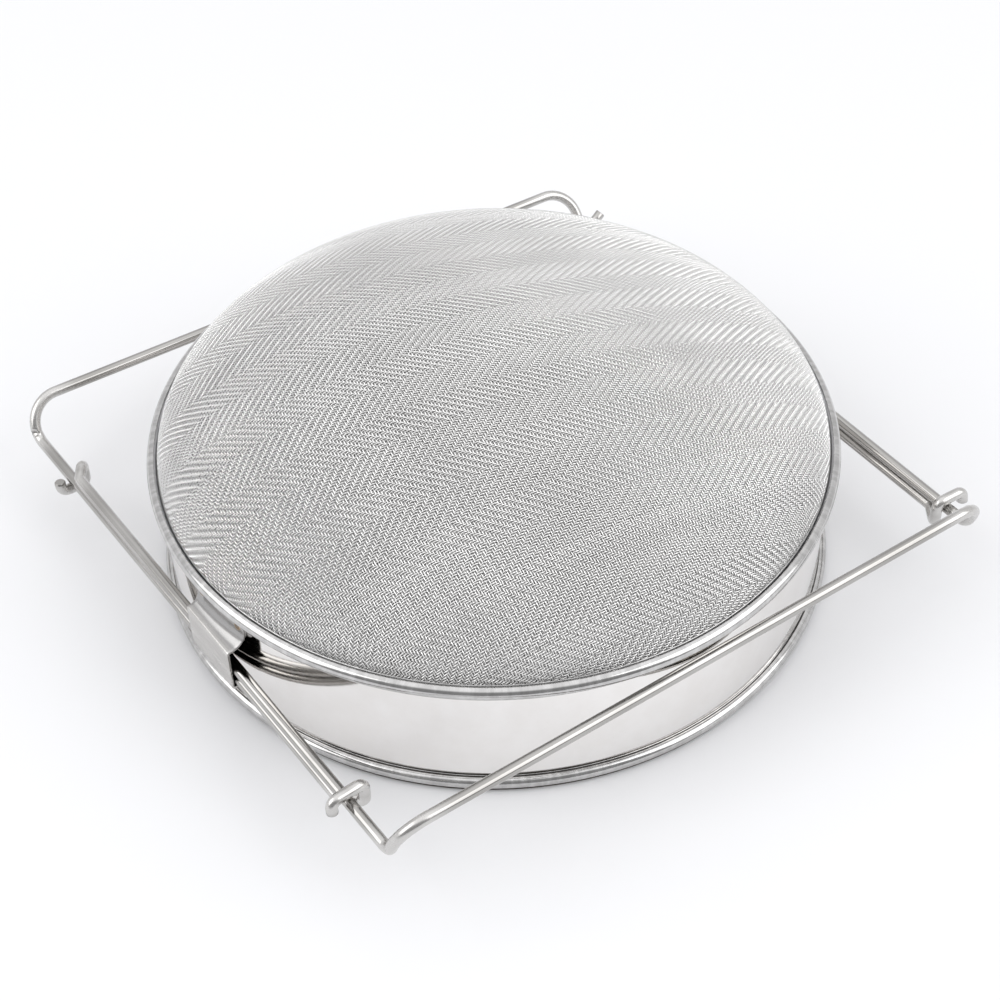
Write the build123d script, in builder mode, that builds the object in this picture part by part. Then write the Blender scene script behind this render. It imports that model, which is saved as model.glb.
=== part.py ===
from build123d import *
import math
import os

# Double sieve strainer for honey, millimetres, +Z up, standing on its open end.
# The fine sieve (outer) stands over the coarse sieve (inner), both domes upward.
# Two bent wire arms slide through guides on the fine sieve's band, along Y.

# ---- ring and bands ----
RING_Y = -4.6                 # ring axis, so that the origin is the middle of the footprint
RIM_OUTER_R = 120.0           # outside of the rolled rim at the mesh end
RIM_TUBE_R = 2.4              # rolled rim, radius of the roll
RIM_Z = 48.8                  # height of the rolled rim's centre
BAND_OUTER_R = 116.4
SHEET = 0.6                   # band sheet thickness
ROLL_SHEET = 0.65             # rolled rim sheet thickness
OPEN_RIM_OUTER_R = 119.0
OPEN_TUBE_R = 2.3
CORE_WIRE_R = 1.5             # wire closed inside each rolled rim
FLANGE_R = 117.6              # coarse sieve's flange, which carries the fine sieve
FLANGE_T = 0.6
REST_GAP = 0.3                # between the flange and the fine sieve's open rim

# ---- fine mesh dome ----
DOME_R = 116.15
DOME_RISE = 40.5
DOME_BASE_Z = 51.4
DOME_BLUNT = 2.05             # dome outline: z = rise * (1 - (r / R) ** blunt) ** fall
DOME_FALL = 0.576
MESH_T = 0.9
MESH_TUCK = 1.9               # how far the mesh edge goes down into the rolled rim

# ---- coarse sieve ----
INNER_BAND_R = 111.8
INNER_RIM_Z = 29.0
INNER_TUBE_R = 1.7
INNER_CORE_R = 0.9
NEST_GAP = 0.3                # between the coarse sieve's rim and the fine sieve's open rim
INNER_RISE = 34.0
INNER_MESH_T = 1.2
INNER_MESH_INSET = 0.85       # mesh's outside from the centre of the roll that grips it
INNER_MESH_FOOT = 0.5         # mesh's lower edge above the centre of that roll
INNER_MESH_TUCK = 1.2
BEND_R = 1.2                  # bend between the flange and the coarse sieve's wall

# ---- wire arms ----
WIRE_R = 2.0
LEG_X = 118.8                 # legs run along Y, tangent to the band
FRONT_LEG_Z = 25.8            # the front arm's legs lie on top of the rear arm's legs
REAR_LEG_Z = 21.2
KINK_R = 5.0                  # bend where the bar end is cranked upward
FRONT_BAR_Y = -118.8          # from the ring axis, at the middle of the bar
FRONT_CRANK = 15.6            # length of the cranked end, leg to bar
FRONT_CRANK_ANGLE = 69.0
FRONT_CORNER_R = 11.0
FRONT_SKEW = 0.7              # degrees that the bar is out of square
REAR_BAR_Y = 122.4
REAR_CRANK = 14.2
REAR_CRANK_ANGLE = 54.0
REAR_CORNER_R = 11.6
REAR_SKEW = -3.4
HOOK_R = 2.7                  # bend radius of the hooked ends
HOOK_LEAD = 7.0               # length over which the end leans in before it wraps
HOOK_GAP = 4.6                # wire centre to wire centre, hook over leg
HOOK_SLANT = 0.6              # how far the wire wrapped over the leg runs out of square
TIP_SLANT = 1.0
HOOK_TWIST = 0.4              # how far the wrap starts beyond the leg's height

# ---- guides ----
GUIDE_LENGTH = 26.0
GUIDE_Y = -9.5                # middle of each guide, from the ring axis
GUIDE_T = 0.85
GUIDE_INNER_X = 121.15
CREASE_Z = 35.6
LIP_Z = 18.0
LIP_REACH = 3.6
CREASE_LAP = 0.4              # the scoop's inside starts this much lower than its outside
FLANGE_FOOT_Z = 41.2          # where the guide's upper flange meets the band
FLANGE_TOP_Z = 44.4
GUIDE_SECTIONS = 4
WELD_R = 1.7
WELD_PROUD = 0.35
WELD_Z = 42.6
WELD_INSET = 3.0              # weld centre from the guide's end
WELD_TAPER = 30.0             # slope of the weld's side, degrees

ring_axis = Axis((0, RING_Y, 0), (0, 0, 1))
ring_plane = Plane(origin=(0, RING_Y, 0), x_dir=(1, 0, 0), z_dir=(0, -1, 0))
os.makedirs("parts", exist_ok=True)


def save(builder, name):
    builder.part.label = name
    export_step(builder.part, f"parts/{name}.step")


def dome_points(radius, base_z, rise, count=9):
    """Outline of a dome from its top to its edge, in (r, z)."""
    points = []
    for i in range(count + 1):
        # even steps of angle put more points at the steep edge
        r = radius * math.sin(math.radians(90.0 * i / count))
        z = base_z + rise * (1 - (r / radius) ** DOME_BLUNT) ** DOME_FALL
        points.append((r, z))
    return points


def dome_shell(radius, base_z, rise, thickness, tuck):
    """Half section of a mesh dome, as the outline of one closed face."""
    outer = dome_points(radius, base_z, rise)
    inner = dome_points(radius - thickness, base_z, rise - thickness)
    foot_z = base_z - tuck
    Spline(*outer, tangents=[(1, 0), (0, -1)])
    Polyline(outer[-1], (outer[-1][0], foot_z), (inner[-1][0], foot_z), inner[-1])
    Spline(*inner, tangents=[(1, 0), (0, -1)])
    Line(inner[0], outer[0])


def roll_section(centre, tube_r, bore_r=0.0):
    """Round section of a rolled rim or of its wire, hollow where it has a bore."""
    with Locations(centre):
        Circle(tube_r)
        if bore_r > 0:
            Circle(bore_r, mode=Mode.SUBTRACT)


# ---- coarse sieve: flanged band, mesh, rolled rim and its core wire ----
inner_rim_r = OPEN_RIM_OUTER_R - 2 * OPEN_TUBE_R - NEST_GAP - INNER_TUBE_R
inner_rim_centre = (inner_rim_r, INNER_RIM_Z)
inner_mesh_r = inner_rim_r - INNER_MESH_INSET
inner_base_z = INNER_RIM_Z + INNER_MESH_FOOT + INNER_MESH_TUCK

with BuildPart() as inner_band:
    with BuildSketch(ring_plane):
        with BuildLine():
            wall_in = INNER_BAND_R - SHEET
            bend_out = BEND_R + SHEET
            Line((FLANGE_R, 0), (wall_in + bend_out, 0))
            TangentArc((wall_in + bend_out, 0), (wall_in, bend_out), tangent=(-1, 0))
            Polyline(
                (wall_in, bend_out),
                (wall_in, INNER_RIM_Z),
                (INNER_BAND_R, INNER_RIM_Z),
                (INNER_BAND_R, bend_out),
            )
            TangentArc((INNER_BAND_R, bend_out), (INNER_BAND_R + BEND_R, FLANGE_T), tangent=(0, -1))
            Polyline((INNER_BAND_R + BEND_R, FLANGE_T), (FLANGE_R, FLANGE_T), (FLANGE_R, 0))
        make_face()
    revolve(axis=ring_axis)
    with BuildSketch(ring_plane):
        roll_section(inner_rim_centre, INNER_TUBE_R)
    revolve(axis=ring_axis, mode=Mode.SUBTRACT)

with BuildPart() as coarse_mesh:
    with BuildSketch(ring_plane):
        with BuildLine():
            dome_shell(inner_mesh_r, inner_base_z, INNER_RISE, INNER_MESH_T, INNER_MESH_TUCK)
        make_face()
    revolve(axis=ring_axis)

with BuildPart() as inner_rim:
    with BuildSketch(ring_plane):
        roll_section(inner_rim_centre, INNER_TUBE_R, INNER_TUBE_R - ROLL_SHEET)
        # the mesh edge opens the roll
        with BuildLine():
            dome_shell(inner_mesh_r, inner_base_z, INNER_RISE, INNER_MESH_T, INNER_MESH_TUCK)
        make_face(mode=Mode.SUBTRACT)
    revolve(axis=ring_axis)

with BuildPart() as inner_rim_wire:
    with BuildSketch(ring_plane):
        roll_section(inner_rim_centre, INNER_CORE_R)
    revolve(axis=ring_axis)

# ---- fine sieve: band, mesh, two rolled rims and their core wires ----
rim_centre = (RIM_OUTER_R - RIM_TUBE_R, RIM_Z)
open_rim_z = FLANGE_T + REST_GAP + OPEN_TUBE_R
open_rim_centre = (OPEN_RIM_OUTER_R - OPEN_TUBE_R, open_rim_z)

with BuildPart() as outer_band:
    with BuildSketch(ring_plane):
        with BuildLine():
            Polyline(
                (BAND_OUTER_R - SHEET, open_rim_z),
                (BAND_OUTER_R, open_rim_z),
                (BAND_OUTER_R, RIM_Z),
                (BAND_OUTER_R - SHEET, RIM_Z),
                close=True,
            )
        make_face()
    revolve(axis=ring_axis)
    # the band stops where it meets the outside of each roll
    with BuildSketch(ring_plane):
        roll_section(rim_centre, RIM_TUBE_R)
        roll_section(open_rim_centre, OPEN_TUBE_R)
    revolve(axis=ring_axis, mode=Mode.SUBTRACT)

with BuildPart() as fine_mesh:
    with BuildSketch(ring_plane):
        with BuildLine():
            dome_shell(DOME_R, DOME_BASE_Z, DOME_RISE, MESH_T, MESH_TUCK)
        make_face()
    revolve(axis=ring_axis)

with BuildPart() as mesh_rim:
    with BuildSketch(ring_plane):
        roll_section(rim_centre, RIM_TUBE_R, RIM_TUBE_R - ROLL_SHEET)
        with BuildLine():
            dome_shell(DOME_R, DOME_BASE_Z, DOME_RISE, MESH_T, MESH_TUCK)
        make_face(mode=Mode.SUBTRACT)
    revolve(axis=ring_axis)

with BuildPart() as mesh_rim_wire:
    with BuildSketch(ring_plane):
        roll_section(rim_centre, CORE_WIRE_R)
    revolve(axis=ring_axis)

with BuildPart() as open_rim:
    with BuildSketch(ring_plane):
        roll_section(open_rim_centre, OPEN_TUBE_R, OPEN_TUBE_R - ROLL_SHEET)
    revolve(axis=ring_axis)

with BuildPart() as open_rim_wire:
    with BuildSketch(ring_plane):
        roll_section(open_rim_centre, CORE_WIRE_R)
    revolve(axis=ring_axis)


# ---- guides: a sheet strip welded to the band, hooked under both legs ----
def guide_section(side, y):
    """Outline of the guide's sheet at one place along Y, the flange following the band."""
    band_x = math.sqrt(BAND_OUTER_R**2 - y**2)
    x_out = GUIDE_INNER_X + GUIDE_T
    x_in = GUIDE_INNER_X
    foot_out = band_x + GUIDE_T
    crease_in = CREASE_Z - CREASE_LAP
    scoop = math.sqrt(0.5)
    # middles of the two quarter-ellipse scoops between the crease and the flange
    mid_out = (x_out + scoop * (foot_out - x_out), FLANGE_FOOT_Z + scoop * (CREASE_Z - FLANGE_FOOT_Z))
    mid_in = (x_in + scoop * (band_x - x_in), FLANGE_FOOT_Z + scoop * (CREASE_Z - GUIDE_T - FLANGE_FOOT_Z))

    def at(point):
        return (side * point[0], point[1])

    lip_x = x_out - LIP_REACH
    Polyline(
        at((x_out, CREASE_Z)),
        at((x_out, LIP_Z)),
        at((lip_x, LIP_Z)),
        at((lip_x, LIP_Z + GUIDE_T)),
        at((x_in, LIP_Z + GUIDE_T)),
        at((x_in, crease_in - GUIDE_T)),
    )
    ThreePointArc(at((x_in, crease_in - GUIDE_T)), at(mid_in), at((band_x, FLANGE_FOOT_Z)))
    Polyline(
        at((band_x, FLANGE_FOOT_Z)),
        at((band_x, FLANGE_TOP_Z)),
        at((foot_out, FLANGE_TOP_Z)),
        at((foot_out, FLANGE_FOOT_Z)),
    )
    ThreePointArc(at((foot_out, FLANGE_FOOT_Z)), at(mid_out), at((x_out, CREASE_Z)))


def guide(side):
    with BuildPart() as strip:
        for i in range(GUIDE_SECTIONS):
            y = GUIDE_Y + GUIDE_LENGTH * (i / (GUIDE_SECTIONS - 1) - 0.5)
            section_plane = Plane(origin=(0, RING_Y + y, 0), x_dir=(1, 0, 0), z_dir=(0, -1, 0))
            with BuildSketch(section_plane):
                with BuildLine():
                    guide_section(side, y)
                make_face()
        loft()
        add(outer_band.part, mode=Mode.SUBTRACT)
    return strip


left_guide = guide(-1)
right_guide = guide(1)

with BuildPart() as guide_welds:
    for side in (-1, 1):
        for end in (-1, 1):
            y = GUIDE_Y + end * (0.5 * GUIDE_LENGTH - WELD_INSET)
            angle = math.asin(y / BAND_OUTER_R)
            out = (side * math.cos(angle), math.sin(angle), 0)
            face_r = BAND_OUTER_R + GUIDE_T
            foot = (face_r * out[0], RING_Y + face_r * out[1], WELD_Z)
            with BuildSketch(Plane(origin=foot, x_dir=(0, 0, 1), z_dir=out)):
                Circle(WELD_R)
            extrude(amount=WELD_PROUD, taper=WELD_TAPER)
    add(left_guide.part, mode=Mode.SUBTRACT)
    add(right_guide.part, mode=Mode.SUBTRACT)


# ---- wire arms ----
def hook_points(x_sign, y_sign, leg_z, wrap, hook_y, reach_in, reach_out, tip, tip_lean):
    """Wire centre points of one hooked end, from its tip to the straight leg.

    wrap is -1 where the end passes under the other arm's leg, and 1 where it passes over.
    """
    across_z = leg_z + wrap * 2 * HOOK_GAP
    inner_x = LEG_X - reach_in
    outer_x = LEG_X + reach_out
    points = [(outer_x + tip_lean, hook_y + TIP_SLANT, across_z - wrap * tip)]
    points.append((outer_x, hook_y + HOOK_SLANT, across_z))
    points.append((inner_x, hook_y, across_z))
    points.append((inner_x, hook_y, leg_z - wrap * HOOK_TWIST))
    points.append((LEG_X, hook_y - HOOK_LEAD, leg_z))
    return [(x_sign * x, RING_Y + y_sign * y, z) for x, y, z in points]


def crank_points(x_sign, y_sign, leg_z, bar_y, skew, crank, crank_angle):
    """Corners of one cranked end, from the leg up to the bar."""
    corner_y = abs(bar_y) + x_sign * LEG_X * math.tan(math.radians(skew))
    run = crank * math.cos(math.radians(crank_angle))
    rise = crank * math.sin(math.radians(crank_angle))
    return [
        (x_sign * LEG_X, RING_Y + y_sign * (corner_y - run), leg_z),
        (x_sign * LEG_X, RING_Y + y_sign * corner_y, leg_z + rise),
    ]


def arm(y_sign, leg_z, wrap, bar, left_hook, right_hook, corner_r):
    left = hook_points(-1, -y_sign, leg_z, wrap, *left_hook)
    right = hook_points(1, -y_sign, leg_z, wrap, *right_hook)
    left += crank_points(-1, y_sign, leg_z, *bar)
    right += crank_points(1, y_sign, leg_z, *bar)
    radii = [HOOK_R] * (len(left) - 3) + [KINK_R, corner_r, corner_r, KINK_R] + [HOOK_R] * (len(right) - 3)
    with BuildPart() as wire:
        with BuildLine() as path:
            FilletPolyline(*left, *reversed(right), radius=radii)
        with BuildSketch(Plane(origin=path.line @ 0, z_dir=path.line % 0)):
            Circle(WIRE_R)
        sweep(path=path.line)
    return wire


# each hook: place along Y beyond the ring axis, reach inward, reach outward, tip length, tip lean
front_arm = arm(
    -1, FRONT_LEG_Z, -1,
    (FRONT_BAR_Y, FRONT_SKEW, FRONT_CRANK, FRONT_CRANK_ANGLE),
    (95.5, 4.7, 4.7, 4.6, 0.0),
    (104.0, 4.7, 2.7, 5.4, 6.9),
    FRONT_CORNER_R,
)
rear_arm = arm(
    1, REAR_LEG_Z, 1,
    (REAR_BAR_Y, REAR_SKEW, REAR_CRANK, REAR_CRANK_ANGLE),
    (88.5, 6.0, 6.3, 4.6, 0.0),
    (105.0, 4.8, 6.6, 4.6, 0.0),
    REAR_CORNER_R,
)

save(inner_band, "inner_band")
save(coarse_mesh, "coarse_mesh")
save(inner_rim, "inner_rim")
save(inner_rim_wire, "inner_rim_wire")
save(outer_band, "outer_band")
save(fine_mesh, "fine_mesh")
save(mesh_rim, "mesh_rim")
save(mesh_rim_wire, "mesh_rim_wire")
save(open_rim, "open_rim")
save(open_rim_wire, "open_rim_wire")
save(left_guide, "left_guide")
save(right_guide, "right_guide")
save(guide_welds, "guide_welds")
save(front_arm, "front_arm")
save(rear_arm, "rear_arm")
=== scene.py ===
import math

import bmesh
import bpy
import numpy as np
from mathutils import Matrix, Vector


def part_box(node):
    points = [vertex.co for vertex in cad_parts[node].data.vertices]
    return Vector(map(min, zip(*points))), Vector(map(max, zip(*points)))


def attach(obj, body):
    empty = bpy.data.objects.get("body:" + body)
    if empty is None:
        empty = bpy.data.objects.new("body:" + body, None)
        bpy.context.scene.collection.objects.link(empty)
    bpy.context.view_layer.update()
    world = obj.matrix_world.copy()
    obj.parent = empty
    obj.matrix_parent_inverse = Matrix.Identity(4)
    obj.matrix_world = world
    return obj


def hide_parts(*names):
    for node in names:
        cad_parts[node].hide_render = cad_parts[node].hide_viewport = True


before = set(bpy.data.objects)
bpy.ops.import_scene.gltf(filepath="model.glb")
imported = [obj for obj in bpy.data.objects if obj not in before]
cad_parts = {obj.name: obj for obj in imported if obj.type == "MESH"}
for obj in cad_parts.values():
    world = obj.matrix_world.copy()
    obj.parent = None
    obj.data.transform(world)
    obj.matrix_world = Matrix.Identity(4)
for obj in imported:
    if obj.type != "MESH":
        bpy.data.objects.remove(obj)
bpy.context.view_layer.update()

# ---- sizes read from the model's parts ----
rim_low, rim_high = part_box("mesh_rim")
open_low, open_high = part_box("open_rim")
band_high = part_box("outer_band")[1]
dome_low, dome_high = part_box("fine_mesh")
inner_rim_low, inner_rim_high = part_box("inner_rim")
inner_dome_low, inner_dome_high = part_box("coarse_mesh")
inner_band_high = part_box("inner_band")[1]
guide_low, guide_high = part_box("left_guide")

AXIS = Vector(((rim_low.x + rim_high.x) / 2, (rim_low.y + rim_high.y) / 2, 0))
RIM_TUBE = (rim_high.z - rim_low.z) / 2
RIM_R = rim_high.x - AXIS.x - RIM_TUBE
RIM_Z = rim_low.z + RIM_TUBE
OPEN_TUBE = (open_high.z - open_low.z) / 2
OPEN_R = open_high.x - AXIS.x - OPEN_TUBE
OPEN_Z = open_low.z + OPEN_TUBE
INNER_TUBE = (inner_rim_high.z - inner_rim_low.z) / 2
INNER_RIM_R = inner_rim_high.x - AXIS.x - INNER_TUBE
INNER_RIM_Z = inner_rim_low.z + INNER_TUBE
BAND_R = band_high.x - AXIS.x

SHEET = 0.0006
ROLL_SHEET = 0.00065
CREASE_SHADE_TOP = OPEN_Z + OPEN_TUBE + 0.0009   # top of the painted shade line in the crease on the band's foot
CREASE_SHADE_IN = BAND_R - 0.002

# ---- wire cloth ----
DOME_BLUNT = 2.05
DOME_FALL = 0.576
MESH_TUCK = 0.0019            # from the dome's base down to the cloth's edge
INNER_TUCK = 0.0012
FINE_WIRE = 0.00022           # wire radius
FINE_ACROSS = 0.000745        # between the wires that run along the stripes
FINE_ALONG = 0.00092          # between the wires that cross them
STRIPE_WIRES = 15             # wires in one herringbone stripe
STRIPE_START = 0.0045         # a stripe's edge, from the dome's top
CLOTH_ANGLE = math.radians(-16)
CLOTH_LEAN = 0.14             # how far the crossing wires lean out of square
CLOTH_FAN = 1.6               # per metre, how the stripes draw together along their length
COARSE_WIRE = 0.00026
COARSE_PITCH = 0.0019
COARSE_LEAN = 0.04
RELIEF = 1.25                 # crimp against the wire radius
PIECE_POINTS = 23500          # wire points in one piece
FINE_HALF = 0.00045           # half of each cloth's thickness
COARSE_HALF = 0.0006
FINE_FOOT = 0.0004            # the cloth's edge above the underside of its solid
COARSE_FOOT = 0.0003

# ---- arms, as bent ----
WIRE_R = 0.0020
LEG_X = 0.1188
FRONT_LEG_Z = 0.0258
REAR_LEG_Z = 0.0212
KINK_R = 0.005
HOOK_R = 0.0027
HOOK_LEAD = 0.007
HOOK_GAP = 0.0046
HOOK_SLANT = 0.0006
TIP_SLANT = 0.001
HOOK_TWIST = 0.0004
CUT_EDGE = 0.0003             # length of the rounded edge at a cut end
CUT_THIN = 0.14               # how much thinner the wire is at the very end
BEND_FADE = 0.45              # how fast a bend's dullness fades along the wire
ARM_SIDES = 24

# ---- guides, as folded ----
GUIDE_T = 0.00085
GUIDE_INNER_X = 0.12115
CREASE_Z = 0.0356
LIP_Z = 0.0180
LIP_REACH = 0.0036
FOOT_Z = 0.0412
TOP_Z = 0.0444
WELD_Z = 0.0426
WELD_R = 0.0017
WELD_INSET = 0.0030
LIP_BEND = 0.0009             # bend radii of the strip's middle line
CREASE_BEND = 0.0005
CREASE_TURN = 55              # degrees
SCOOP_STEPS = 12
GUIDE_ROWS = 27
GUIDE_EDGE = 0.00012          # rounding of the strip's edges
# across a weld, from its middle out: share of its radius, and height
WELD_PROFILE = [(0.0, 0.00012), (0.35, 0.0001), (0.55, 0.00022), (0.72, 0.00026), (0.88, 0.00012), (1.0, 0.0)]
WELD_SIDES = 28
WELD_SUNK = 0.00002


def at_axis(x, y, z):
    return Vector((AXIS.x + x, AXIS.y + y, z))


# ---- shader maths ----
class Value:
    """One output of a shader node. Python's operators on it add Math nodes."""

    def __init__(self, finish, socket):
        self.finish = finish
        self.socket = socket

    def __add__(self, other):
        return self.finish.maths("ADD", self, other)

    def __radd__(self, other):
        return self.finish.maths("ADD", other, self)

    def __sub__(self, other):
        return self.finish.maths("SUBTRACT", self, other)

    def __rsub__(self, other):
        return self.finish.maths("SUBTRACT", other, self)

    def __mul__(self, other):
        return self.finish.maths("MULTIPLY", self, other)

    def __rmul__(self, other):
        return self.finish.maths("MULTIPLY", other, self)

    def __truediv__(self, other):
        return self.finish.maths("DIVIDE", self, other)


class Finish:
    """A material under construction, with one Principled shader."""

    def __init__(self, name):
        self.material = bpy.data.materials.new(name)
        self.material.use_nodes = True
        self.tree = self.material.node_tree
        self.shader = self.tree.nodes["Principled BSDF"]

    def node(self, kind, settings=None, sockets=None, output=0):
        made = self.tree.nodes.new(kind)
        for key, value in (settings or {}).items():
            if key == "stops":
                self.set_stops(made.color_ramp, value)
            else:
                setattr(made, key, value)
        for key, value in (sockets or {}).items():
            self.feed(made.inputs[key], value)
        return Value(self, made.outputs[output])

    def set_stops(self, ramp, stops):
        while len(ramp.elements) < len(stops):
            ramp.elements.new(1.0)
        for element, (place, colour) in zip(ramp.elements, stops):
            element.position = place
            element.color = (*colour, 1)

    def feed(self, socket, value):
        if isinstance(value, Value):
            self.tree.links.new(value.socket, socket)
        else:
            socket.default_value = value

    def maths(self, operation, *values):
        return self.node("ShaderNodeMath", {"operation": operation}, dict(enumerate(values)))

    def position(self):
        """Object coordinates as x, y and z values."""
        place = self.node("ShaderNodeTexCoord", output="Object")
        return [self.node("ShaderNodeSeparateXYZ", sockets={0: place}, output=i) for i in range(3)]

    def vector(self, x, y, z):
        return self.node("ShaderNodeCombineXYZ", sockets={0: x, 1: y, 2: z})

    def noise(self, place, scale, detail=2.0, roughness=0.5):
        return self.node(
            "ShaderNodeTexNoise",
            sockets={"Vector": place, "Scale": scale, "Detail": detail, "Roughness": roughness},
        )

    def spread(self, value, low, high, to_low=0.0, to_high=1.0):
        """value, taken from low..high to to_low..to_high and held there."""
        return self.node(
            "ShaderNodeMapRange",
            {"interpolation_type": "SMOOTHSTEP"},
            {"Value": value, "From Min": low, "From Max": high, "To Min": to_low, "To Max": to_high},
        )

    def between(self, factor, colour_a, colour_b):
        return self.node(
            "ShaderNodeMix",
            {"data_type": "RGBA"},
            {"Factor": factor, 6: (*colour_a, 1) if not isinstance(colour_a, Value) else colour_a,
             7: (*colour_b, 1) if not isinstance(colour_b, Value) else colour_b},
            output=2,
        )

    def bump(self, height, distance, strength=1.0):
        return self.node(
            "ShaderNodeBump", sockets={"Height": height, "Distance": distance, "Strength": strength}
        )

    def finish(self, colour, roughness, normal=None, metallic=1.0):
        self.feed(self.shader.inputs["Base Color"], colour)
        self.feed(self.shader.inputs["Roughness"], roughness)
        self.feed(self.shader.inputs["Metallic"], metallic)
        if normal is not None:
            self.feed(self.shader.inputs["Normal"], normal)
        return self.material


def around_axis(finish):
    """Coordinates on a round wall that have no seam: a unit circle about the axis, height and radius."""
    x, y, z = finish.position()
    x = x - AXIS.x
    y = y - AXIS.y
    reach = finish.maths("SQRT", x * x + y * y)
    return x / reach, y / reach, z, reach


def polished_sheet():
    """Mirror-polished band: faint polishing lines round it, hand marks and a few dull spots."""
    f = Finish("polished_sheet")
    cx, cy, z, reach = around_axis(f)
    lines = f.noise(f.vector(cx * 3.0, cy * 3.0, z * 2600.0), 1.0, 3.0)
    waves = f.noise(f.vector(cx * 2.0, cy * 2.0, z * 30.0), 1.0, 1.0)
    marks = f.noise(f.vector(cx * 9.0, cy * 9.0, z * 70.0), 1.0, 4.0, 0.6)
    dull = f.spread(marks, 0.56, 0.74)
    sheet_tone = f.between(f.spread(marks, 0.3, 0.75), (0.87, 0.85, 0.83), (0.91, 0.895, 0.88))
    # painted shade: the crease above the open roll is coloured dark brown-black, standing in for its shadow
    # and dark reflection
    crease = f.spread(z, CREASE_SHADE_TOP, CREASE_SHADE_TOP - 0.0004)
    colour = f.between(crease * f.spread(reach, CREASE_SHADE_IN - 0.001, CREASE_SHADE_IN), sheet_tone, (0.10, 0.085, 0.07))
    roughness = 0.035 + 0.05 * lines + 0.07 * dull
    height = lines * 0.12 + waves
    return f.finish(colour, roughness, f.bump(height, 0.00012, 0.2))


def rolled_edge():
    """Rolled rims: the same sheet, worked, with burnishing lines along the roll."""
    f = Finish("rolled_edge")
    cx, cy, z, reach = around_axis(f)
    lines = f.noise(f.vector(cx * 6.0, cy * 6.0, z * 1500.0), 1.0, 3.0)
    marks = f.noise(f.vector(cx * 40.0, cy * 40.0, z * 160.0), 1.0, 4.0, 0.62)
    colour = f.between(f.spread(marks, 0.35, 0.7), (0.50, 0.495, 0.49), (0.64, 0.635, 0.63))
    roughness = 0.07 + 0.09 * lines + 0.08 * f.spread(marks, 0.52, 0.7)
    return f.finish(colour, roughness, f.bump(lines * 0.4 + marks, 0.00006, 0.22))


def cloth_wire(name, light, dark, roughness, metallic):
    """Woven wire: drawn steel, each wire a little different, dustier in patches."""
    f = Finish(name)
    x, y, z = f.position()
    place = f.vector(x, y, z)
    tone = f.node("ShaderNodeAttribute", {"attribute_name": "tone"}, output="Fac")
    broad = f.noise(place, 26.0, 3.0, 0.55)
    fine = f.noise(place, 1900.0, 2.0, 0.6)
    lift = f.node("ShaderNodeAttribute", {"attribute_name": "lift"}, output="Fac")
    # painted shade: the wires are coloured light where they ride over and dark where they dive under,
    # standing in for the shadow in the crossings; broad patches, each wire's own tone and fine grain vary the
    # colour too
    tone_and_crossing_shade = f.spread(lift, -1.0, 0.8) * 0.75 + f.spread(broad, 0.3, 0.72) * 0.12 + tone * 0.10 + fine * 0.10
    colour = f.between(tone_and_crossing_shade, dark, light)
    rough = roughness + 0.09 * fine + 0.04 * (1 - f.spread(broad, 0.35, 0.65))
    return f.finish(colour, rough, f.bump(fine, 0.00003, 0.5), metallic)


def drawn_wire():
    """Arm wire: bright drawn steel, fine lines along it, duller where it was bent and handled."""
    f = Finish("drawn_wire")
    along = f.node("ShaderNodeAttribute", {"attribute_name": "along"}, output="Fac")
    bent = f.node("ShaderNodeAttribute", {"attribute_name": "bent"}, output="Fac")
    x, y, z = f.position()
    place = f.vector(x, y, z)
    streaks = f.noise(f.vector(x * 1500.0, y * 60.0, z * 1500.0), 1.0, 3.0, 0.6)
    marks = f.noise(place, 210.0, 4.0, 0.65)
    drift = f.noise(f.vector(along * 24.0, 0.0, 0.0), 1.0, 2.0)
    dull = f.spread(marks, 0.5, 0.75)
    colour = f.between(f.spread(drift, 0.3, 0.7), (0.38, 0.37, 0.355), (0.50, 0.49, 0.475))
    worn = f.between(bent, colour, (0.60, 0.59, 0.575))
    roughness = 0.06 + 0.08 * streaks + 0.06 * dull + 0.16 * bent
    return f.finish(worn, roughness, f.bump(streaks * 0.25 + marks, 0.00004, 0.22))


def satin_strip():
    """Guide strip: satin sheet with lines across it, scuffed where the wires rub."""
    f = Finish("satin_strip")
    x, y, z = f.position()
    lines = f.noise(f.vector(x * 90.0, y * 60.0, z * 1.0 + y * 1900.0), 1.0, 3.0, 0.6)
    scuffs = f.noise(f.vector(x * 300.0, y * 90.0, z * 420.0), 1.0, 4.0, 0.6)
    face = f.between(f.spread(scuffs, 0.35, 0.7), (0.56, 0.545, 0.525), (0.68, 0.665, 0.645))
    # painted shade: the scoop above the crease is coloured darker, standing in for the dark surroundings that
    # it reflects
    colour = f.between(f.spread(z, CREASE_Z, CREASE_Z + 0.0007), face, (0.37, 0.365, 0.36))
    roughness = 0.17 + 0.10 * lines + 0.08 * f.spread(scuffs, 0.5, 0.72)
    return f.finish(colour, roughness, f.bump(lines * 0.4 + scuffs, 0.00004, 0.22))


def heat_tint():
    """Spot weld: a dull grey nugget with a straw and brown ring of heat round it."""
    f = Finish("heat_tint")
    out = f.node("ShaderNodeAttribute", {"attribute_name": "out"}, output="Fac")
    x, y, z = f.position()
    grit = f.noise(f.vector(x, y, z), 2300.0, 3.0, 0.65)
    edge = out + (grit - 0.5) * 0.25
    colour = f.node(
        "ShaderNodeValToRGB",
        {"stops": [(0.0, (0.34, 0.31, 0.28)), (0.45, (0.20, 0.15, 0.11)), (0.72, (0.46, 0.33, 0.20)),
                   (1.0, (0.72, 0.69, 0.65))]},
        {"Fac": edge},
    )
    return f.finish(colour, 0.34 + 0.2 * grit, f.bump(grit, 0.00008, 0.6), metallic=0.9)


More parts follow.
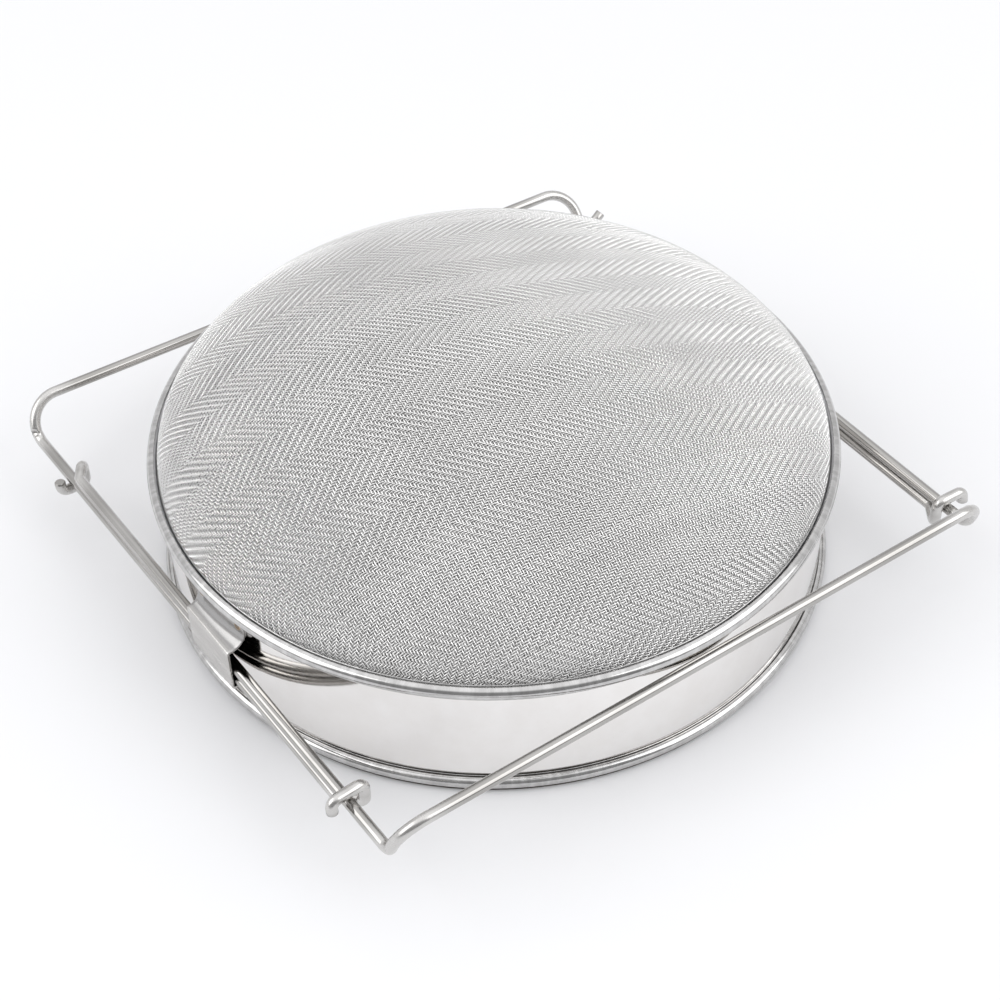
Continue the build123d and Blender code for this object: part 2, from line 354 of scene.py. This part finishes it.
def plain_core():
    """Core wires, closed inside the rolls: grey drawn wire."""
    f = Finish("plain_core")
    x, y, z = f.position()
    grain = f.noise(f.vector(x, y, z), 900.0, 3.0)
    colour = f.between(grain, (0.42, 0.42, 0.43), (0.56, 0.56, 0.57))
    return f.finish(colour, 0.35 + 0.2 * grain, f.bump(grain, 0.00005, 0.5))


POLISHED = polished_sheet()
ROLLED = rolled_edge()
FINE_CLOTH = cloth_wire("fine_cloth_wire", (0.99, 0.985, 0.975), (0.60, 0.595, 0.585), 0.09, 0.86)
COARSE_CLOTH = cloth_wire("coarse_cloth_wire", (0.92, 0.915, 0.905), (0.66, 0.655, 0.65), 0.2, 0.7)
DRAWN = drawn_wire()
SATIN = satin_strip()
HEAT = heat_tint()
CORE = plain_core()


# ---- mesh building ----
def mesh_piece(name, points, faces, material, attributes=None):
    mesh = bpy.data.meshes.new(name)
    mesh.from_pydata([tuple(p) for p in points], [], faces)
    for key, values in (attributes or {}).items():
        layer = mesh.attributes.new(key, "FLOAT", "POINT")
        layer.data.foreach_set("value", np.asarray(values, np.float32))
    mesh.materials.append(material)
    piece = bpy.data.objects.new(name, mesh)
    bpy.context.scene.collection.objects.link(piece)
    work = bmesh.new()
    work.from_mesh(mesh)
    bmesh.ops.remove_doubles(work, verts=work.verts, dist=1e-7)
    bmesh.ops.recalc_face_normals(work, faces=work.faces)
    for face in work.faces:
        face.smooth = True
    work.to_mesh(mesh)
    work.free()
    return piece


def place(piece, body, slot, *nodes):
    """Rides a finished piece on its body and hides the nodes that it stands for."""
    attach(piece, body)
    if nodes:
        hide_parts(*nodes)
    return piece


def lathe(name, section, material, segments=384):
    """A ring about the sieve's axis with a closed section, a list of (r, z)."""
    points, faces = [], []
    count = len(section)
    for i in range(segments):
        turn = 2 * math.pi * i / segments
        for r, z in section:
            points.append(at_axis(r * math.cos(turn), r * math.sin(turn), z))
    for i in range(segments):
        near, far = i * count, (i + 1) % segments * count
        for k in range(count):
            following = (k + 1) % count
            faces.append((near + k, near + following, far + following, far + k))
    return mesh_piece(name, points, faces, material)


def arc(centre, radius, start, end, steps):
    """Points (r, z) on an arc, angles in degrees."""
    turns = [math.radians(start + (end - start) * i / steps) for i in range(steps + 1)]
    return [(centre[0] + radius * math.cos(t), centre[1] + radius * math.sin(t)) for t in turns]


def keep_modifiers(piece):
    """The piece with its modifiers made part of its mesh."""
    bpy.context.view_layer.update()
    graph = bpy.context.evaluated_depsgraph_get()
    mesh = bpy.data.meshes.new_from_object(piece.evaluated_get(graph))
    piece.modifiers.clear()
    piece.data = mesh
    return piece


# ---- sweeping wire along lines, with geometry nodes ----
def swept_wire_tree():
    """Geometry nodes that push each line's points off the surface by their lift and sweep a wire along it."""
    tree = bpy.data.node_groups.new("swept_wire", "GeometryNodeTree")
    sockets = tree.interface
    sockets.new_socket("Geometry", in_out="INPUT", socket_type="NodeSocketGeometry")
    sockets.new_socket("Wire Radius", in_out="INPUT", socket_type="NodeSocketFloat")
    sockets.new_socket("Crimp", in_out="INPUT", socket_type="NodeSocketFloat")
    sockets.new_socket("Sides", in_out="INPUT", socket_type="NodeSocketInt")
    sockets.new_socket("Material", in_out="INPUT", socket_type="NodeSocketMaterial")
    sockets.new_socket("Geometry", in_out="OUTPUT", socket_type="NodeSocketGeometry")

    def add(kind, settings=None, links=None):
        made = tree.nodes.new(kind)
        for key, value in (settings or {}).items():
            setattr(made, key, value)
        for key, value in (links or {}).items():
            if isinstance(value, bpy.types.NodeSocket):
                tree.links.new(value, made.inputs[key])
            else:
                made.inputs[key].default_value = value
        return made

    given = add("NodeGroupInput").outputs
    lift = add("GeometryNodeInputNamedAttribute", {"data_type": "FLOAT"}, {"Name": "lift"})
    outward = add("GeometryNodeInputNamedAttribute", {"data_type": "FLOAT_VECTOR"}, {"Name": "outward"})
    thin = add("GeometryNodeInputNamedAttribute", {"data_type": "FLOAT"}, {"Name": "thin"})
    push = add("ShaderNodeMath", {"operation": "MULTIPLY"}, {0: lift.outputs[0], 1: given["Crimp"]})
    offset = add(
        "ShaderNodeVectorMath", {"operation": "SCALE"}, {0: outward.outputs[0], "Scale": push.outputs[0]}
    )
    moved = add("GeometryNodeSetPosition", None, {"Geometry": given["Geometry"], "Offset": offset.outputs[0]})
    curve = add("GeometryNodeMeshToCurve", None, {"Mesh": moved.outputs[0]})
    round_section = add(
        "GeometryNodeCurvePrimitiveCircle", None,
        {"Resolution": given["Sides"], "Radius": given["Wire Radius"]},
    )
    scale = add("ShaderNodeMath", {"operation": "SUBTRACT"}, {0: 1.0, 1: thin.outputs[0]})
    swept = add(
        "GeometryNodeCurveToMesh",
        None,
        {"Curve": curve.outputs[0], "Profile Curve": round_section.outputs[0], "Scale": scale.outputs[0],
         "Fill Caps": True},
    )
    smooth = add("GeometryNodeSetShadeSmooth", None, {"Geometry": swept.outputs[0]})
    real = add("GeometryNodeRealizeInstances", None, {"Geometry": smooth.outputs[0]})
    painted = add(
        "GeometryNodeSetMaterial", None, {"Geometry": real.outputs[0], "Material": given["Material"]}
    )
    add("NodeGroupOutput", None, {"Geometry": painted.outputs[0]})
    return tree


SWEPT_WIRE = swept_wire_tree()


def sweep(name, points, edges, attributes, radius, crimp, sides, material):
    """A piece of round wire swept along lines of points."""
    mesh = bpy.data.meshes.new(name)
    mesh.from_pydata([], [], [])
    mesh.vertices.add(len(points))
    mesh.vertices.foreach_set("co", np.asarray(points, np.float32).ravel())
    mesh.edges.add(len(edges))
    mesh.edges.foreach_set("vertices", np.asarray(edges, np.int32).ravel())
    for key, values in attributes.items():
        values = np.asarray(values, np.float32)
        kind, field = ("FLOAT", "value") if values.ndim == 1 else ("FLOAT_VECTOR", "vector")
        mesh.attributes.new(key, kind, "POINT").data.foreach_set(field, values.ravel())
    mesh.update()
    piece = bpy.data.objects.new(name, mesh)
    bpy.context.scene.collection.objects.link(piece)
    modifier = piece.modifiers.new("swept_wire", "NODES")
    modifier.node_group = SWEPT_WIRE
    inputs = {i.name: i.identifier for i in SWEPT_WIRE.interface.items_tree if i.in_out == "INPUT"}
    modifier[inputs["Wire Radius"]] = radius
    modifier[inputs["Crimp"]] = crimp
    modifier[inputs["Sides"]] = sides
    modifier[inputs["Material"]] = material
    return keep_modifiers(piece)


# ---- wire cloth ----
def dome_outline(radius, top_z, rise, foot_z):
    """Distance along a dome from its top, with the radius and height there."""
    turn = np.linspace(0, math.pi / 2, 600)
    r = radius * np.sin(turn)
    z = top_z - rise + rise * (1 - np.sin(turn) ** DOME_BLUNT) ** DOME_FALL
    r = np.append(r, radius)
    z = np.append(z, foot_z)
    s = np.concatenate([[0], np.cumsum(np.hypot(np.diff(r), np.diff(z)))])
    return s, r, z


def herringbone(i, j):
    """Whether wire i along the stripes lies over crossing wire j: twill that turns back at each stripe."""
    stripe = np.floor_divide(i, STRIPE_WIRES)
    rising = stripe % 2 == 0
    phase = np.where(rising, j - i, j + i + 2)
    return phase % 4 < 2


def plain_weave(i, j):
    return (i + j) % 2 == 0


def cloth_points(outline, across, along, start, lean, fan, seed):
    """Every crossing of a cloth laid over a dome: index pair, place, outward direction, if it is on it."""
    s_edge = outline[0][-1]
    reach = int(s_edge / min(across, along) * 1.35)
    i = np.arange(-reach, reach + 1)[:, None] + np.zeros((1, 2 * reach + 1), int)
    j = i.T.copy()
    shake = np.random.default_rng(seed)
    v = (i + 0.5 + shake.normal(0, 0.05, i.shape[0])[:, None]) * across + start
    u = (j + 0.5 + shake.normal(0, 0.05, i.shape[1])[None, :]) * along
    u, v = u - lean * v, v * (1 - fan * u)
    x = u * math.cos(CLOTH_ANGLE) - v * math.sin(CLOTH_ANGLE)
    y = u * math.sin(CLOTH_ANGLE) + v * math.cos(CLOTH_ANGLE)
    s = np.hypot(x, y)
    ways = np.stack([x, y], -1) / np.maximum(s, 1e-9)[..., None]
    r = np.interp(s, outline[0], outline[1])
    z = np.interp(s, outline[0], outline[2])
    step = 2e-4
    dr = np.interp(s + step, outline[0], outline[1]) - np.interp(s - step, outline[0], outline[1])
    dz = np.interp(s + step, outline[0], outline[2]) - np.interp(s - step, outline[0], outline[2])
    size = np.maximum(np.hypot(dr, dz), 1e-12)
    places = np.stack([AXIS.x + r * ways[..., 0], AXIS.y + r * ways[..., 1], z], -1)
    outward = np.stack([-dz / size * ways[..., 0], -dz / size * ways[..., 1], dr / size], -1)
    return i, j, places, outward, s <= s_edge


def cloth_pieces(name, outline, across, along, start, lean, fan, weave, radius, sides, material, seed):
    """Pieces of woven wire: first the wires along the cloth, then those across it."""
    i, j, places, outward, inside = cloth_points(outline, across, along, start, lean, fan, seed)
    over = np.where(weave(i, j), 1.0, -1.0)
    tones = np.random.default_rng(seed + 1)
    pieces = []
    for run, swap in (("warp", False), ("weft", True)):
        grid = [a.swapaxes(0, 1) if swap else a for a in (places, outward, inside, over)]
        spots, ways, kept, lift = grid
        lift = -lift if swap else lift
        tone = np.repeat(tones.random(kept.shape[0])[:, None], kept.shape[1], 1)
        per_row = kept.sum(1)
        groups = max(1, math.ceil(per_row.sum() / PIECE_POINTS))
        group = np.minimum(np.cumsum(per_row) * groups // (per_row.sum() + 1), groups - 1)
        for g in range(groups):
            rows = group == g
            mask = kept[rows]
            index = np.cumsum(mask.ravel()).reshape(mask.shape) - 1
            joined = mask[:, :-1] & mask[:, 1:]
            edges = np.stack([index[:, :-1][joined], index[:, 1:][joined]], -1)
            values = {"lift": lift[rows][mask], "outward": ways[rows][mask], "tone": tone[rows][mask]}
            pieces.append(
                sweep(
                    f"{name}_{run}_{g + 1}", spots[rows][mask], edges, values,
                    radius, radius * RELIEF, sides, material,
                )
            )
    return pieces


# ---- bent wire arms ----
def hook_route(x_sign, y_sign, leg_z, wrap, hook_y, reach_in, reach_out, tip, tip_lean=0.0):
    """Corners of one hooked end, from its tip to the straight leg. It wraps over the other arm's leg (wrap 1)
    or under it (wrap -1)."""
    across_z = leg_z + wrap * 2 * HOOK_GAP
    inner_x = LEG_X - reach_in
    outer_x = LEG_X + reach_out
    route = [(outer_x + tip_lean, hook_y + TIP_SLANT, across_z - wrap * tip)]
    route.append((outer_x, hook_y + HOOK_SLANT, across_z))
    route.append((inner_x, hook_y, across_z))
    route.append((inner_x, hook_y, leg_z - wrap * HOOK_TWIST))
    route.append((LEG_X, hook_y - HOOK_LEAD, leg_z))
    return [at_axis(x_sign * x, y_sign * y, z) for x, y, z in route]


def crank_route(x_sign, y_sign, leg_z, bar_y, skew, crank, crank_angle):
    """Corners of one cranked end, from the leg up to the bar."""
    corner_y = bar_y + x_sign * LEG_X * math.tan(math.radians(skew))
    run = crank * math.cos(math.radians(crank_angle))
    rise = crank * math.sin(math.radians(crank_angle))
    return [
        at_axis(x_sign * LEG_X, y_sign * (corner_y - run), leg_z),
        at_axis(x_sign * LEG_X, y_sign * corner_y, leg_z + rise),
    ]


def rounded(route, radii, step=math.radians(6)):
    """A route's points with an arc at each corner, and how much each point is bent, from 0 to 1."""
    points, bent = [route[0]], [0.0]
    for before, corner, after, radius in zip(route, route[1:], route[2:], radii):
        into = (corner - before).normalized()
        away = (after - corner).normalized()
        turn = into.angle(away)
        cut = radius * math.tan(turn / 2)
        inward = (away - into).normalized()
        centre = corner + inward * (radius / math.cos(turn / 2))
        start = corner - into * cut - centre
        axis = into.cross(away).normalized()
        steps = max(2, math.ceil(turn / step))
        for k in range(steps + 1):
            points.append(centre + Matrix.Rotation(turn * k / steps, 3, axis) @ start)
            bent.append(1.0)
    points.append(route[-1])
    bent.append(0.0)
    return points, bent


def filled_in(points, bent, longest=0.004):
    """The same line with more points on its straight runs, the bent value fading off beside each bend."""
    line, values = [points[0]], [bent[0]]
    for a, b, bent_a, bent_b in zip(points, points[1:], bent, bent[1:]):
        parts = max(1, math.ceil((b - a).length / longest))
        for k in range(1, parts + 1):
            line.append(a.lerp(b, k / parts))
            near = min(k, parts - k)
            held = bent_b if k == parts else (bent_a if near == k else bent_b)
            values.append(held * max(0.0, 1 - BEND_FADE * near))
    return line, values


def arm(name, y_sign, leg_z, wrap, bar, left_hook, right_hook, corner_r):
    """An arm: two legs, hooked at one end, cranked up to a straight bar at the other."""
    left = hook_route(-1, -y_sign, leg_z, wrap, **left_hook)
    right = hook_route(1, -y_sign, leg_z, wrap, **right_hook)
    left += crank_route(-1, y_sign, leg_z, **bar)
    right += crank_route(1, y_sign, leg_z, **bar)
    radii = [HOOK_R] * (len(left) - 3) + [KINK_R, corner_r, corner_r, KINK_R] + [HOOK_R] * (len(right) - 3)
    line, bent = filled_in(*rounded(left + right[::-1], radii))
    # each cut end has a small rounded edge
    line.insert(1, line[0].lerp(line[1], CUT_EDGE / (line[1] - line[0]).length))
    line.insert(-1, line[-1].lerp(line[-2], CUT_EDGE / (line[-1] - line[-2]).length))
    bent.insert(1, bent[0])
    bent.insert(-1, bent[-1])
    thin = [0.0] * len(line)
    thin[0] = thin[-1] = CUT_THIN
    along = np.concatenate([[0], np.cumsum([(b - a).length for a, b in zip(line, line[1:])])])
    edges = [(k, k + 1) for k in range(len(line) - 1)]
    values = {"along": along, "bent": bent, "thin": thin}
    piece = sweep(name, line, edges, values, WIRE_R, 0.0, ARM_SIDES, DRAWN)
    return place(piece, name, "arm_wire_steel", name)


# ---- guides ----
def guide_line(y):
    """Middle line of the guide's sheet at one place along Y, from its lip up to its flange's top."""
    half = GUIDE_T / 2
    band_x = math.sqrt(BAND_R**2 - y**2) + half
    out_x = GUIDE_INNER_X + half
    line = [(out_x - LIP_REACH + half, LIP_Z + half)]
    line += arc((out_x - LIP_BEND, LIP_Z + half + LIP_BEND), LIP_BEND, -90, 0, 6)
    line.append((out_x, 0.5 * (LIP_Z + CREASE_Z)))
    line += arc((out_x - CREASE_BEND, CREASE_Z - CREASE_BEND), CREASE_BEND, 0, CREASE_TURN, 4)
    start = line[-1]
    for k in range(1, SCOOP_STEPS + 1):
        turn = math.radians(90 * k / SCOOP_STEPS)
        # a scoop that leaves the crease level and meets the flange upright
        x = band_x + (start[0] - band_x) * (1 - math.sin(turn))
        z = FOOT_Z + (start[1] - FOOT_Z) * math.cos(turn)
        line.append((x, z))
    line.append((band_x, TOP_Z))
    return line


def guide(name, side):
    """The guide's strip: rows of its middle line along Y, then given its thickness and rounded edges."""
    y_low = guide_low.y - AXIS.y
    y_high = guide_high.y - AXIS.y
    points, faces = [], []
    for k in range(GUIDE_ROWS):
        y = y_low + (y_high - y_low) * k / (GUIDE_ROWS - 1)
        line = guide_line(y)
        points += [at_axis(side * x, y, z) for x, z in line]
    count = len(line)
    for k in range(GUIDE_ROWS - 1):
        for m in range(count - 1):
            a = k * count + m
            faces.append((a, a + 1, a + count + 1, a + count))
    piece = mesh_piece(name, points, faces, SATIN)
    solid = piece.modifiers.new("thickness", "SOLIDIFY")
    solid.thickness = GUIDE_T
    solid.offset = 0
    edge = piece.modifiers.new("edge", "BEVEL")
    edge.width = GUIDE_EDGE
    edge.segments = 2
    edge.limit_method = "ANGLE"
    edge.angle_limit = math.radians(50)
    keep_modifiers(piece)
    return place(piece, "fine_sieve", "guide_steel", name)


def weld_nuggets():
    """Two spot welds on each guide's flange: a low crater with a raised lip."""
    points, faces, out = [], [], []
    for side in (-1, 1):
        for end_y, sign in ((guide_low.y, 1), (guide_high.y, -1)):
            y = end_y - AXIS.y + sign * WELD_INSET
            turn = math.asin(y / BAND_R)
            away = Vector((side * math.cos(turn), math.sin(turn), 0))
            sideways = Vector((-away.y, away.x, 0))
            foot = at_axis(0, 0, WELD_Z) + away * (BAND_R + GUIDE_T - WELD_SUNK)
            base = len(points)
            for share, height in WELD_PROFILE[1:]:
                for k in range(WELD_SIDES):
                    angle = 2 * math.pi * k / WELD_SIDES
                    radius = share * WELD_R * (1 + 0.05 * math.sin(3 * angle + end_y * 900))
                    ring = sideways * math.cos(angle) + Vector((0, 0, math.sin(angle)))
                    points.append(foot + ring * radius + away * height)
                    out.append(share)
            points.append(foot + away * WELD_PROFILE[0][1])
            out.append(0.0)
            for ring_number in range(len(WELD_PROFILE) - 2):
                for k in range(WELD_SIDES):
                    a = base + ring_number * WELD_SIDES + k
                    b = base + ring_number * WELD_SIDES + (k + 1) % WELD_SIDES
                    faces.append((a, b, b + WELD_SIDES, a + WELD_SIDES))
            for k in range(WELD_SIDES):
                faces.append((len(points) - 1, base + (k + 1) % WELD_SIDES, base + k))
            last = base + (len(WELD_PROFILE) - 2) * WELD_SIDES
            faces.append(tuple(last + k for k in range(WELD_SIDES)))
    piece = mesh_piece("guide_welds_tinted", points, faces, HEAT, {"out": out})
    return place(piece, "fine_sieve", "weld_steel", "guide_welds")


# ---- bands and rolled rims ----
INTO_OPEN = 0.86              # where the band's sheet ends, as a share of each roll's radius
INTO_MESH = 0.80
EASE = 0.0010                 # the straight stretch below the mesh roll
NECK_IN = 0.0006              # the band's sheet is necked in just above the open roll
NECK_HIGH = 0.0017
FLANGE_BEND = 0.0012
MESH_ROLL = (-232, 97)        # the angles that each roll runs between, in degrees
OPEN_ROLL = (-250, 96)
COARSE_ROLL = (-232, 118)


def rolled_sheet(centre, tube, start, end):
    """Section of a rolled edge: a hook of sheet from one angle to another."""
    outer = arc(centre, tube, start, end, 44)
    inner = arc(centre, tube - ROLL_SHEET, end, start, 40)
    return outer + inner


def fine_band():
    """Band sheet: straight, easing into the roll at each end."""
    inner_r = BAND_R - SHEET
    low = OPEN_Z + OPEN_TUBE * INTO_OPEN
    high = RIM_Z - RIM_TUBE * INTO_MESH
    section = [
        (inner_r - NECK_IN, low), (BAND_R - NECK_IN, low), (BAND_R - NECK_IN, low + NECK_HIGH * 0.6),
        (BAND_R, low + NECK_HIGH), (BAND_R, low + NECK_HIGH * 1.2), (BAND_R, 0.5 * (low + high)),
        (BAND_R, high - EASE), (BAND_R, high), (inner_r, high), (inner_r, 0.5 * (low + high)),
        (inner_r, low + NECK_HIGH), (inner_r - NECK_IN, low + NECK_HIGH * 0.6),
    ]
    return lathe("fine_band_sheet", section, POLISHED)


def coarse_band():
    """Coarse sieve's band: a flange, a bend and a wall that ends under its roll."""
    wall_r = INNER_RIM_R - SHEET
    flange_r = inner_band_high.x - AXIS.x
    top = inner_band_high.z
    bend_at = (wall_r + FLANGE_BEND, SHEET + FLANGE_BEND)
    section = [(flange_r, 0.0), (flange_r, SHEET)]
    section += arc(bend_at, FLANGE_BEND, -90, -180, 8)
    section += [(wall_r, top), (wall_r - SHEET, top)]
    section += arc(bend_at, FLANGE_BEND + SHEET, -180, -90, 8)
    return lathe("coarse_band_sheet", section, POLISHED)


place(fine_band(), "fine_sieve", "band_steel", "outer_band")
place(
    lathe("mesh_end_roll", rolled_sheet((RIM_R, RIM_Z), RIM_TUBE, *MESH_ROLL), ROLLED),
    "fine_sieve", "rolled_rim_steel", "mesh_rim",
)
place(
    lathe("open_end_roll", rolled_sheet((OPEN_R, OPEN_Z), OPEN_TUBE, *OPEN_ROLL), ROLLED),
    "fine_sieve", "rolled_rim_steel", "open_rim",
)
place(coarse_band(), "coarse_sieve", "band_steel", "inner_band")
place(
    lathe("coarse_roll", rolled_sheet((INNER_RIM_R, INNER_RIM_Z), INNER_TUBE, *COARSE_ROLL), ROLLED, 288),
    "coarse_sieve", "rolled_rim_steel", "inner_rim",
)
for core in ("mesh_rim_wire", "open_rim_wire", "inner_rim_wire"):
    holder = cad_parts[core]
    holder.data.materials.clear()
    holder.data.materials.append(CORE)

guide("left_guide", -1)
guide("right_guide", 1)
weld_nuggets()

arm(
    "front_arm", -1, FRONT_LEG_Z, -1,
    bar=dict(bar_y=0.1188, skew=0.7, crank=0.0156, crank_angle=69.0),
    left_hook=dict(hook_y=0.0955, reach_in=0.0047, reach_out=0.0047, tip=0.0046),
    right_hook=dict(hook_y=0.1040, reach_in=0.0047, reach_out=0.0027, tip=0.0054, tip_lean=0.0069),
    corner_r=0.0110,
)
arm(
    "rear_arm", 1, REAR_LEG_Z, 1,
    bar=dict(bar_y=0.1224, skew=-3.4, crank=0.0142, crank_angle=54.0),
    left_hook=dict(hook_y=0.0885, reach_in=0.0060, reach_out=0.0063, tip=0.0046),
    right_hook=dict(hook_y=0.1050, reach_in=0.0048, reach_out=0.0066, tip=0.0046),
    corner_r=0.0116,
)

# both cloths lie at the middle of their solid's thickness
fine_outline = dome_outline(
    dome_high.x - AXIS.x - FINE_HALF, dome_high.z - FINE_HALF,
    dome_high.z - dome_low.z - MESH_TUCK, dome_low.z + FINE_FOOT,
)
fine_pieces = cloth_pieces(
    "fine_mesh", fine_outline, FINE_ACROSS, FINE_ALONG, STRIPE_START, CLOTH_LEAN, CLOTH_FAN,
    herringbone, FINE_WIRE, 4, FINE_CLOTH, 11,
)
for piece in fine_pieces:
    place(piece, "fine_sieve", "fine_mesh_steel", "fine_mesh")

coarse_outline = dome_outline(
    inner_dome_high.x - AXIS.x - COARSE_HALF, inner_dome_high.z - COARSE_HALF,
    inner_dome_high.z - inner_dome_low.z - INNER_TUCK, inner_dome_low.z + COARSE_FOOT,
)
coarse_pieces = cloth_pieces(
    "coarse_mesh", coarse_outline, COARSE_PITCH, COARSE_PITCH, 0.0, COARSE_LEAN, 0.0,
    plain_weave, COARSE_WIRE, 4, COARSE_CLOTH, 23,
)
for piece in coarse_pieces:
    place(piece, "coarse_sieve", "coarse_mesh_steel", "coarse_mesh")


# ---- floor, light and camera ----
LIGHT_AWAY = 2.1
WALL_AHEAD = 0.80
WALL_BEHIND = 0.34
WALL_COOL = 1.01
CEILING = 0.45
BOX_SIZE = (1.7, 1.6)
BOX_RISE = 38
BOX_BRIGHTNESS = 1.55
FLOOR_R = 6.0
VIEW_AHEAD = (0.4040, 0.5834, -0.7045)
VIEW_RIGHT = (0.8221, -0.5693, 0.0)
VIEW_ROLL = math.radians(-1.337)
VIEW_FROM = at_axis(-0.3072, -0.4468, 0.5541)
LENS = 76.68
AHEAD = Vector((VIEW_AHEAD[0], VIEW_AHEAD[1], 0)).normalized()   # the camera's bearing, level


def floor():
    """A wide pale sweep under the strainer."""
    f = Finish("pale_floor")
    x, y, z = f.position()
    grain = f.noise(f.vector(x, y, z), 3.0, 2.0)
    f.finish(f.between(grain, (0.835, 0.838, 0.852), (0.85, 0.853, 0.866)), 0.6, metallic=0.0)
    bpy.ops.mesh.primitive_circle_add(vertices=96, radius=FLOOR_R, fill_type="NGON", location=(0, 0, 0))
    sweep_floor = bpy.context.object
    sweep_floor.name = "floor"
    sweep_floor.data.materials.append(f.material)


def room():
    """The studio round it: mid grey ahead, darker behind the camera, paler overhead."""
    world = bpy.data.worlds.new("studio")
    bpy.context.scene.world = world
    world.use_nodes = True
    tree = world.node_tree
    way = tree.nodes.new("ShaderNodeTexCoord").outputs["Generated"]

    def ramp(axis, stops):
        """Brightness along one direction of the room, from its far side (0) to its near side (1)."""
        along = tree.nodes.new("ShaderNodeVectorMath")
        along.operation = "DOT_PRODUCT"
        along.inputs[1].default_value = axis
        reach = tree.nodes.new("ShaderNodeMapRange")
        reach.inputs["From Min"].default_value = -1.0
        levels = tree.nodes.new("ShaderNodeValToRGB")
        levels.color_ramp.interpolation = "EASE"
        while len(levels.color_ramp.elements) < len(stops):
            levels.color_ramp.elements.new(1.0)
        for element, (place_on, colour) in zip(levels.color_ramp.elements, stops):
            element.position = place_on
            element.color = (*colour, 1)
        tree.links.new(way, along.inputs[0])
        tree.links.new(along.outputs["Value"], reach.inputs["Value"])
        tree.links.new(reach.outputs["Result"], levels.inputs["Fac"])
        return levels.outputs["Color"]

    def grey(level):
        return (level, level, level * WALL_COOL)

    walls = ramp(AHEAD, [(0.0, grey(WALL_BEHIND)), (0.12, grey(WALL_BEHIND)), (0.34, grey(WALL_AHEAD))])
    ceiling = ramp(Vector((0, 0, 1)), [(0.0, (0, 0, 0)), (0.80, (0, 0, 0)), (0.97, grey(CEILING))])
    both = tree.nodes.new("ShaderNodeVectorMath")
    both.operation = "ADD"
    tree.links.new(walls, both.inputs[0])
    tree.links.new(ceiling, both.inputs[1])
    tree.links.new(both.outputs["Vector"], tree.nodes["Background"].inputs["Color"])


def side_light(name, turn, rise, size, brightness):
    """A soft box turned from straight ahead (left is positive), raised, and aimed at the strainer."""
    bearing = math.atan2(AHEAD.y, AHEAD.x) + math.radians(turn)
    level = math.cos(math.radians(rise))
    place_at = Vector((math.cos(bearing) * level, math.sin(bearing) * level, math.sin(math.radians(rise))))
    power = brightness * math.pi * size[0] * size[1]
    soft_light(name, place_at * LIGHT_AWAY, (0, 0, 0.04), size, power)


def soft_light(name, place_at, target, size, power):
    data = bpy.data.lights.new(name, "AREA")
    data.shape = "RECTANGLE"
    data.size, data.size_y = size
    data.energy = power
    lamp = bpy.data.objects.new(name, data)
    lamp.location = place_at
    lamp.rotation_euler = (Vector(target) - Vector(place_at)).to_track_quat("-Z", "Y").to_euler()
    bpy.context.scene.collection.objects.link(lamp)


def camera():
    """The view from the front left, looking down."""
    ahead = Vector(VIEW_AHEAD).normalized()
    right = Vector(VIEW_RIGHT).normalized()
    up = right.cross(ahead)
    side = right * math.cos(VIEW_ROLL) + up * math.sin(VIEW_ROLL)
    over = up * math.cos(VIEW_ROLL) - right * math.sin(VIEW_ROLL)
    data = bpy.data.cameras.new("camera")
    data.sensor_width = 36
    data.lens = LENS
    data.clip_end = 50
    holder = bpy.data.objects.new("camera", data)
    turn = Matrix((side, over, -ahead)).transposed().to_4x4()
    holder.matrix_world = Matrix.Translation(VIEW_FROM) @ turn
    bpy.context.scene.collection.objects.link(holder)
    bpy.context.scene.camera = holder


floor()
room()
side_light("left_box", 106, BOX_RISE, BOX_SIZE, BOX_BRIGHTNESS)
side_light("right_box", -108, BOX_RISE, BOX_SIZE, BOX_BRIGHTNESS)
camera()
bpy.context.scene.view_settings.view_transform = "Standard"
